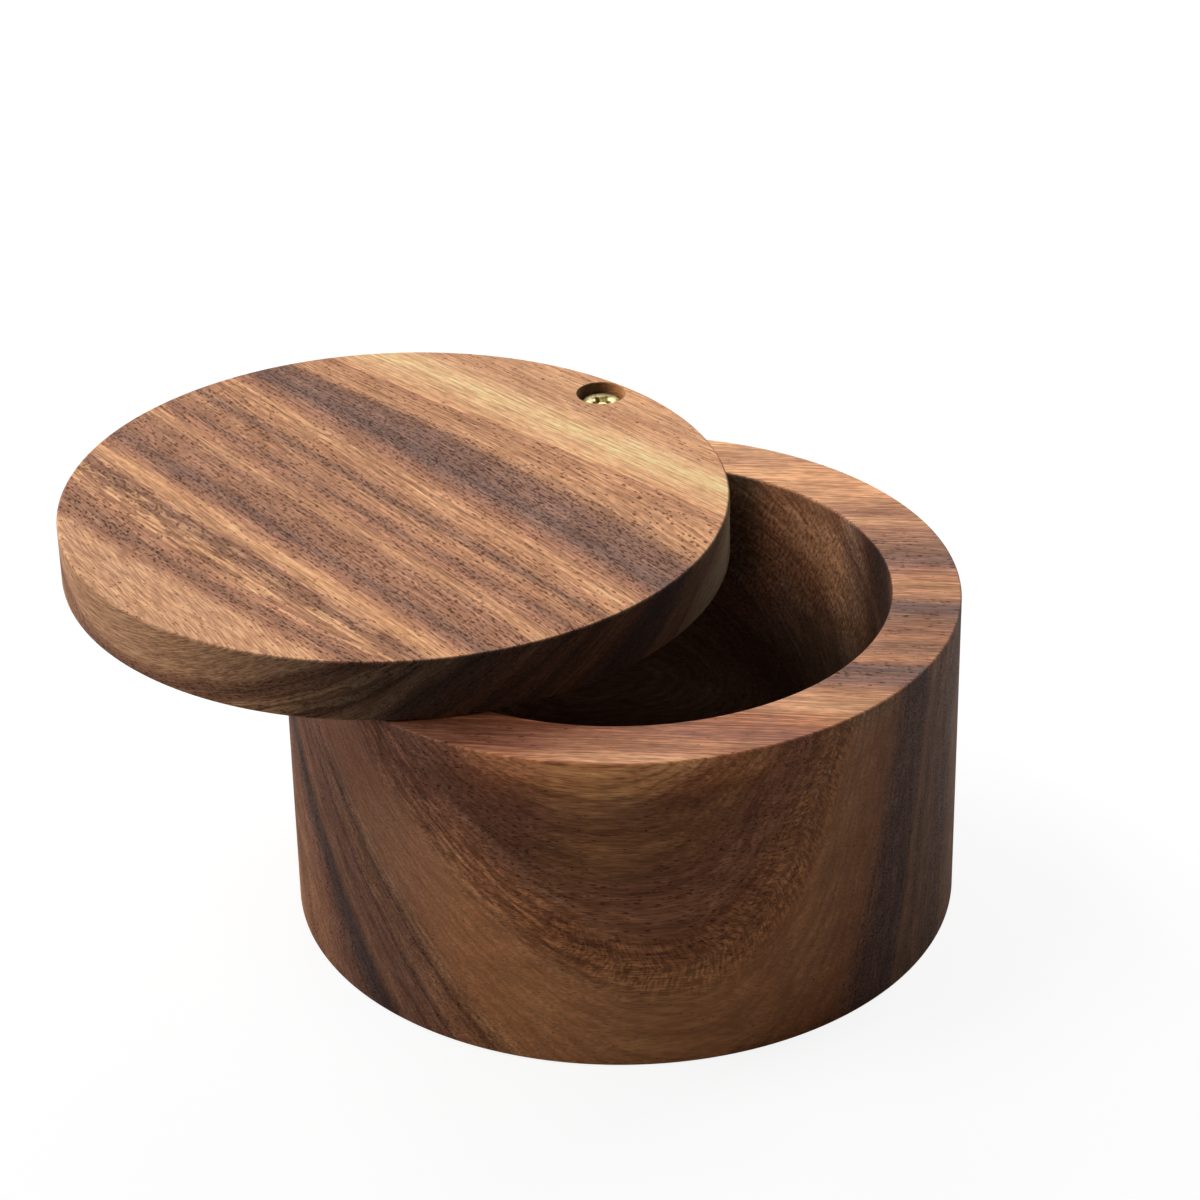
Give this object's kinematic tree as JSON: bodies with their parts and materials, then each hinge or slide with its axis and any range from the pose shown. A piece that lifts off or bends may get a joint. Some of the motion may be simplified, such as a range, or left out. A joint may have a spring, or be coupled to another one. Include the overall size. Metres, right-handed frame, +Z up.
{
  "type": "salt box with swivel lid",
  "caption": "Round turned wooden box for salt, with a flat round lid that swivels sideways about one upright screw near its edge.",
  "frame": {"origin": "centre of the bowl's flat base, on the surface it stands on", "axes": "+Z up along the bowl's axis, +Y from the bowl's axis towards the upright screw that the lid turns on"},
  "size_m": [0.1687, 0.1447, 0.0762],
  "materials": {
    "acacia": "oiled, satin, with straight dark streaks",
    "brass": "polished"
  },
  "bodies": {
    "bowl": {"bowl": "acacia", "pivot_screw": "brass"},
    "lid": {"lid": "acacia", "screw_washer": "brass"}
  },
  "joints": [
    {"name": "lid_swivel", "type": "hinge", "parent": "bowl", "child": "lid", "pos_m": [0, 0.058, 0.07015], "axis": [0, 0, 1], "continuous": true}
  ]
}
